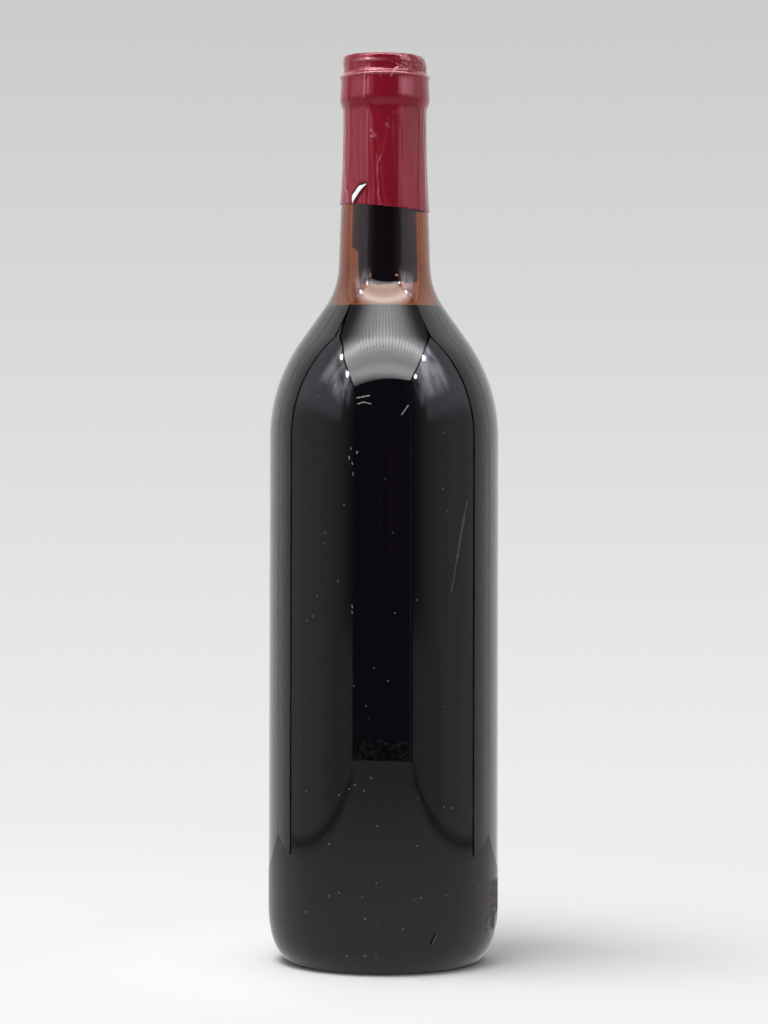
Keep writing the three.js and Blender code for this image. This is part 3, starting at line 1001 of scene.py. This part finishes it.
class OBJECT_OT_bottle_wear(bpy.types.Operator):
    """Lays the scratches, specks of dust, the chip and the stain on the glass"""

    bl_idname = "object.bottle_wear"
    bl_label = "Wear"

    def execute(self, context):
        size = context.scene.bottle_settings
        outside = divided(glass_outside(size), 1 * MM)
        pale = bmesh.new()
        for start, end, half_width in SCRATCHES.values():
            self.stroke(pale, outside, start, end, half_width * MM, 0.03 * MM)
        for across, down in SPECKS:
            place = seen_at(outside, across, down)
            self.blob(pale, outside, place, (0.19 * MM, 0.18 * MM, 0.05 * MM), 0)
        self.scatter(pale, outside)
        dust = plain_finish("dust", (0.36, 0.36, 0.35), 0.6)
        to_piece(pale, "dust_and_scratches", [dust])
        chip = bmesh.new()
        self.stroke(chip, outside, *CHIP[:2], CHIP[2] * MM, 0.04 * MM)
        chipped = plain_finish("chip", (0.001, 0.001, 0.001), 0.7, ior=1)
        to_piece(chip, "chip", [chipped])
        faint = bmesh.new()
        for start, end, half_width in FAINT_SCRATCHES.values():
            self.stroke(faint, outside, start, end, half_width * MM, 0.01 * MM)
        scratched = plain_finish("faint scratch", (0.045, 0.045, 0.05), 0.6)
        to_piece(faint, "faint_scratch", [scratched])
        self.stain(outside)
        inside = cavity(size)
        drops = bmesh.new()
        for across, down in DROPS:
            place = seen_inside(outside, inside, across, down)
            self.blob(drops, inside, place, (0.9 * MM, 1.05 * MM, 0.55 * MM), 0, 3)
        to_piece(drops, "drops", [drop_finish()])
        self.wet(size, inside)
        return {"FINISHED"}

    def stain(self, outside):
        """Dried splashes in a patch low on the right, with a ragged lower edge."""
        stain = bmesh.new()
        draw = random.Random(STAIN_SEED)
        for _ in range(STAIN_DRAWS):
            angle = math.radians(draw.uniform(*STAIN_ANGLES))
            height = draw.uniform(*STAIN_HEIGHTS)
            ragged = noise.noise(Vector((angle * 9, height * 300, 2)))
            if height < STAIN_HEIGHTS[0] + (3 + 5 * ragged) * MM:
                continue
            place = around(radius_at(outside, height), angle, height)
            radii = (0.9 * MM, draw.uniform(0.5, 1) * MM, 0.02 * MM)
            self.blob(stain, outside, place, radii, draw.uniform(0, math.pi))
        to_piece(stain, "stain", [plain_finish("stain", (0.09, 0.075, 0.06), 0.7)])

    def wet(self, size, inside):
        """The thin film of wine that clings to the bore above the wine."""
        low = size.fill_height + 1 * MM
        heights = [low + i * (FILM_TOP - low) / 10 for i in range(11)]
        points = [(radius_at(inside, height) - 0.05 * MM, 0, height) for height in heights]
        film = spun(points, FILM_STEPS)
        to_piece(film, "wine_film", [film_finish(size)])

    def blob(self, bm, outside, place, radii, spin, detail=1):
        """A flat drop that lies half in the glass."""
        normal = outward(outside, place)
        up = Vector((0, 0, 1))
        side = up.cross(normal).normalized()
        turn = Matrix((side, normal.cross(side), normal)).transposed().to_4x4()
        shape = Matrix.Diagonal((*radii, 1))
        matrix = Matrix.Translation(place) @ turn @ Matrix.Rotation(spin, 4, "Z") @ shape
        bmesh.ops.create_icosphere(bm, subdivisions=detail, radius=1, matrix=matrix)

    def stroke(self, bm, outside, start, end, half_width, rise):
        """A thin mark between two picture points, in short lengths that follow the glass."""
        first, last = seen_at(outside, *start), seen_at(outside, *end)
        parts = max(1, math.ceil((last - first).length / (1.6 * MM)))
        for i in range(parts):
            ends = []
            for share in (i / parts, (i + 1) / parts):
                across, down = (start[k] + (end[k] - start[k]) * share for k in range(2))
                ends.append(seen_at(outside, across, down))
            middle = (ends[0] + ends[1]) / 2
            middle.xy *= radius_at(outside, middle.z) / math.hypot(middle.x, middle.y)
            along = ends[1] - ends[0]
            normal = outward(outside, middle)
            side = Vector((0, 0, 1)).cross(normal).normalized()
            spin = math.atan2(along.dot(normal.cross(side)), along.dot(side))
            self.blob(bm, outside, middle, (along.length * 0.62, half_width, rise), spin)

    def scatter(self, bm, outside):
        """Dust all round the glass, more of it low down."""
        draw = random.Random(DUST_SEED)
        for _ in range(DUST_GRAINS):
            height = DUST_LOW + DUST_SPAN * draw.random() ** 1.5
            angle = draw.uniform(0, FULL_TURN) + math.pi / 2
            place = around(radius_at(outside, height), angle, height)
            width = draw.uniform(0.05, 0.13) * MM
            radii = (width * draw.uniform(1, 2), width, 0.03 * MM)
            self.blob(bm, outside, place, radii, draw.uniform(0, math.pi))


def upright(start, end, low, high):
    """Corners of an upright sheet between two places on the floor."""
    return [(*start, low), (*end, low), (*end, high), (*start, high)]


class OBJECT_OT_bottle_stage(bpy.types.Operator):
    """Makes the floor, the light tent, the lights and the camera"""

    bl_idname = "object.bottle_stage"
    bl_label = "Stage"

    def execute(self, context):
        settings = context.scene.stage_settings
        scene = context.scene
        scene.view_settings.view_transform = "Standard"
        scene.cycles.max_bounces = 24
        scene.cycles.transmission_bounces = 20
        scene.cycles.glossy_bounces = 8
        self.camera(scene)
        self.backdrop(scene, settings)
        self.floor(settings)
        self.table()
        self.tent()
        self.lights(settings)
        return {"FINISHED"}

    def camera(self, scene):
        data = bpy.data.cameras.new("camera")
        data.lens = LENS
        data.sensor_width = SENSOR
        camera = new_object("camera", data)
        camera.location = (0, -CAMERA_DISTANCE, CAMERA_HEIGHT)
        camera.rotation_euler = (math.pi / 2, -CAMERA_ROLL, 0)
        scene.camera = camera

    def backdrop(self, scene, settings):
        """The grey that deepens upwards, dim in mirrors and even for matt surfaces."""
        world = bpy.data.worlds.new("backdrop")
        scene.world = world
        world.cycles.sampling_method = "NONE"
        finish = Finish("backdrop", world)
        direction = finish.node("ShaderNodeTexCoord", out=0)
        across, along, rise = finish.parts(direction)
        slope = rise / ((1 - rise * rise).at_least(0.01) ** 0.5)
        code = (HORIZON_CODE - CODE_FALL * slope).at_least(DARKEST_CODE).at_most(PALEST_CODE)
        light = ((code / 255 + 0.055) / 1.055) ** 2.4
        camera, diffuse, through = (finish.node("ShaderNodeLightPath", out=i) for i in (0, 2, 6))
        clear = camera.at_least(through * along.step(-0.5, -0.1))
        sides = 0.4 * through * (across * across).step(0.12, 0.4)
        other = (settings.dark_front + sides) * (1 - diffuse) + settings.fill * diffuse
        strength = light * clear + other * (1 - clear)
        colour = finish.mix(clear.at_least(diffuse), (0.95, 0.85, 1.4, 1), WHITE)
        finish.surface("ShaderNodeBackground", {"Color": colour, "Strength": strength})

    def panel(self, name, corners, radiance, tint=TENT_TINT):
        """A glowing sheet that only mirrors see. radiance works on its own coordinates."""
        bm = bmesh.new()
        bm.faces.new([bm.verts.new(corner) for corner in corners])
        finish = Finish(name)
        spot, parts = finish.place()
        values = {"Color": solid_colour(tint), "Strength": radiance(finish, spot, *parts)}
        glow = finish.surface("ShaderNodeEmission", values)
        glow.cycles.emission_sampling = "NONE"
        panel = new_object(name, new_mesh(bm, name, [glow]))
        for ray in ("camera", "diffuse", "transmission", "shadow", "volume_scatter"):
            setattr(panel, "visible_" + ray, False)

    def floor(self, settings):
        """A pale floor that fades into the backdrop, and that mirrors don't see, with a painted contact
        shadow round the base and painted light beside it on the left.
        """
        bm = bmesh.new()
        bmesh.ops.create_circle(bm, cap_ends=True, segments=96, radius=FLOOR_RADIUS)
        finish = Finish("floor")
        spot, (x, y, z) = finish.place()
        away = (x * x + y * y) ** 0.5
        shade = (settings.floor_shade,) * 3
        # Painted contact shadow in a ring round the base
        near = away.step(0.026, 0.037)
        # Painted light on the left of the base, lifting the shade there
        left = (1 - x.step(-0.05, 0)) * (1 - away.step(0.05, 0.13))
        bare = finish.mix(left, shaded(shade, 1), shaded(shade, 1.1))
        tone = finish.mix(near, shaded(shade, 0.3), bare)
        cloth = finish.node("ShaderNodeBsdfDiffuse", None, {"Color": tone})
        clear = finish.node("ShaderNodeBsdfTransparent")
        cover = finish.surface("ShaderNodeMixShader", {0: away.step(0.12, 0.6), 1: cloth, 2: clear})
        floor = new_object("floor", new_mesh(bm, "floor", [cover]))
        floor.visible_glossy = False

    def table(self):
        """The round cloth that mirrors see, dark where the bottle shades it, and its shadowed hem."""
        def cloth(finish, spot, x, y, z):
            away = (x * x + y * y) ** 0.5
            return (0.66 - 0.3 * away.step(0.06, 0.82)) * (0.12 + 0.88 * away.step(0.028, 0.036))

        def hem(finish, spot, x, y, z):
            ruck = finish.noise(spot, scale=40, detail=2, stretch=(0.25, 1, 1))
            return 0.05 + 0.16 * ruck.step(0.45, 0.65)

        def disc(radius, height):
            return [around(radius, FULL_TURN * i / 64 + math.pi / 2, height) for i in range(64)]

        self.panel("table", disc(TABLE_RADIUS, -MM), cloth, (1, 0.99, 1.06))
        self.panel("hem", disc(HEM_RADIUS, -2 * MM), hem)

    def tent(self):
        """Two side walls with dark seams, the back wall and the ceiling with its lit strips."""
        def wall(finish, spot, x, y, z):
            cloud = finish.noise(spot, scale=11, detail=6, stretch=(1, 1, 0.45), rough=0.66)
            skirt = 0.2 * (1 - z.step(0.065, 0.105)) * (1 - y.step(-0.52, -0.25))
            low = 0.1 + 0.38 * y.step(-0.62, -0.1) + skirt
            middle = 0.45 * z.step(0.23, 0.31) * y.step(-0.39, -0.33)
            lit = (1 - y.step(-0.11, -0.05)) * y.step(-0.52, -0.25)
            high = (1.8 * z.step(0.33, 0.42) + 1.5 * z.step(0.42, 0.6)) * lit
            # Painted shade along the wall's foot, where it meets the table
            foot = 1 - (0.2 + 0.6 * cloud) * z.step(0.002, 0.006) * (1 - z.step(0.006, 0.012))
            cloudy = (low + middle) * (0.82 + 0.36 * cloud) + high * (0.1 + 1.8 * cloud.step(0.35, 0.65))
            return cloudy * foot

        def back(finish, spot, x, y, z):
            return 0.62 + 0.35 * y.step(0.05, 0.245) + 0.35 * z.step(0.35, 0.55)

        def ceiling(finish, spot, x, y, z):
            share = (y - CEILING_FRONT) / (TENT_BACK - CEILING_FRONT)
            ramp = finish.node("ShaderNodeValToRGB", {"stops": self.ceiling_stops()}, {0: share})
            cloud = finish.noise(spot, scale=14, detail=3)
            pleats = finish.node("ShaderNodeMath", {"operation": "SINE"}, {0: x * 240 + cloud * 3})
            pleated = y.step(-0.36, -0.26) * (1 - y.step(-0.15, -0.11))
            return ramp * (10.8 + 2.4 * cloud + 2.2 * pleats * pleated)

        def dark(finish, spot, x, y, z):
            return 0.02

        def edge(finish, spot, x, y, z):
            return 0.26

        def faint(finish, spot, x, y, z):
            return 0.06 + 0.08 * z.step(0.1, 0.13) * (1 - z.step(0.17, 0.2))

        for name, x, front, seam, head in (
            ("left wall", -TENT_HALF, LEFT_FRONT, LEFT_SEAM, LEFT_HEAD),
            ("right wall", TENT_HALF, TENT_FRONT, RIGHT_SEAM, RIGHT_HEAD),
        ):
            near, far, end = seam - SEAM_HALF, seam + SEAM_HALF, TENT_BACK - CORNER_GAP
            rim = [(y * MM, z * MM) for y, z in head] + [(near, TENT_TOP - HEAD_GAP)]
            self.panel(name, [(x, near, 0), (x, front, 0)] + [(x, y, z) for y, z in rim], wall)
            self.panel(name + " behind", upright((x, far), (x, end), 0, TENT_TOP), back, (1, 1, 1))
            outer = x * 1.004
            border = [(outer, far, 0), (outer, front, 0)] + [(outer, y, z + HEAD_GAP) for y, z in rim]
            self.panel(name + " border", border + [(outer, far, TENT_TOP)], dark)
        half = TENT_HALF - CORNER_GAP
        self.panel("back wall", upright((-half, TENT_BACK), (half, TENT_BACK), 0, TENT_TOP), back, (1, 1, 1))
        over = [(x * MM, y * MM, TENT_TOP) for x, y in CEILING_CORNERS]
        self.panel("ceiling", over, ceiling, (0.99, 1, 1.02))
        for name, spans, heights, glow, tint in (
            ("front edge", [POST], (0, TENT_TOP), edge, TENT_TINT),
            ("front streak", STREAKS, STREAK_HEIGHTS, faint, (1.5, 0.75, 1.1)),
        ):
            for left, right in spans:
                sheet = upright((left, TENT_FRONT), (right, TENT_FRONT), *heights)
                self.panel(name, sheet, glow, tint)

    def ceiling_stops(self):
        """How bright the ceiling is from its front to the back: the two lit strips and the gap between."""
        lit = {
            -600: 1.5, -560: 3.4, -480: 6.5, -430: 6, -370: 4.8, -310: 5.2, -250: 6.8, -200: 9.8, -170: 8.8,
            -145: 5.4, -120: 4.0, -95: 2.4, -70: 1.3, -40: 0.5, 0: 0.3,
        }
        span = TENT_BACK - CEILING_FRONT
        return [((place * MM - CEILING_FRONT) / span, level / 12) for place, level in lit.items()]

    def light(self, name, place, size, power, unseen):
        """A soft oval lamp turned to the bottle's middle, without the named kinds of ray."""
        data = bpy.data.lights.new(name, "AREA")
        data.shape = "ELLIPSE"
        data.size, data.size_y = size
        data.energy = power
        lamp = new_object(name, data)
        lamp.location = place
        lamp.rotation_euler = (LAMP_AIM - Vector(place)).to_track_quat("-Z", "Y").to_euler()
        for ray in unseen:
            setattr(lamp, "visible_" + ray, False)

    def lights(self, settings):
        self.light("key", KEY_PLACE, KEY_SIZE, settings.key_power, ("glossy", "transmission", "camera"))
        for i, place in enumerate(LAMPS):
            spot = [part * MM for part in place]
            self.light(f"lamp {i + 1}", spot, LAMP_SIZE, LAMP_POWER, ("diffuse", "camera"))


class VIEW3D_PT_bottle(bpy.types.Panel):
    """Lists the bottle's pieces and their sizes"""

    bl_label = "Corked wine bottle"
    bl_idname = "VIEW3D_PT_bottle"
    bl_space_type = "VIEW_3D"
    bl_region_type = "UI"
    bl_category = "Bottle"

    def draw(self, context):
        layout = self.layout
        for name in BottleSettings.__annotations__:
            layout.prop(context.scene.bottle_settings, name)
        for name in StageSettings.__annotations__:
            layout.prop(context.scene.stage_settings, name)
        for operator in OPERATORS:
            layout.operator(operator.bl_idname)


OPERATORS = (
    OBJECT_OT_bottle_glass,
    OBJECT_OT_bottle_wine,
    OBJECT_OT_bottle_cork,
    OBJECT_OT_bottle_capsule,
    OBJECT_OT_bottle_wear,
    OBJECT_OT_bottle_stage,
)
CLASSES = (BottleSettings, StageSettings, *OPERATORS, VIEW3D_PT_bottle)


def register():
    for cls in CLASSES:
        bpy.utils.register_class(cls)
    bpy.types.Scene.bottle_settings = bpy.props.PointerProperty(type=BottleSettings)
    bpy.types.Scene.stage_settings = bpy.props.PointerProperty(type=StageSettings)


def unregister():
    del bpy.types.Scene.stage_settings
    del bpy.types.Scene.bottle_settings
    for cls in reversed(CLASSES):
        bpy.utils.unregister_class(cls)


def main():
    register()
    bpy.ops.object.bottle_glass()
    bpy.ops.object.bottle_wine()
    bpy.ops.object.bottle_cork()
    bpy.ops.object.bottle_capsule()
    bpy.ops.object.bottle_wear()
    bpy.ops.object.bottle_stage()


if __name__ == "__main__":
    main()
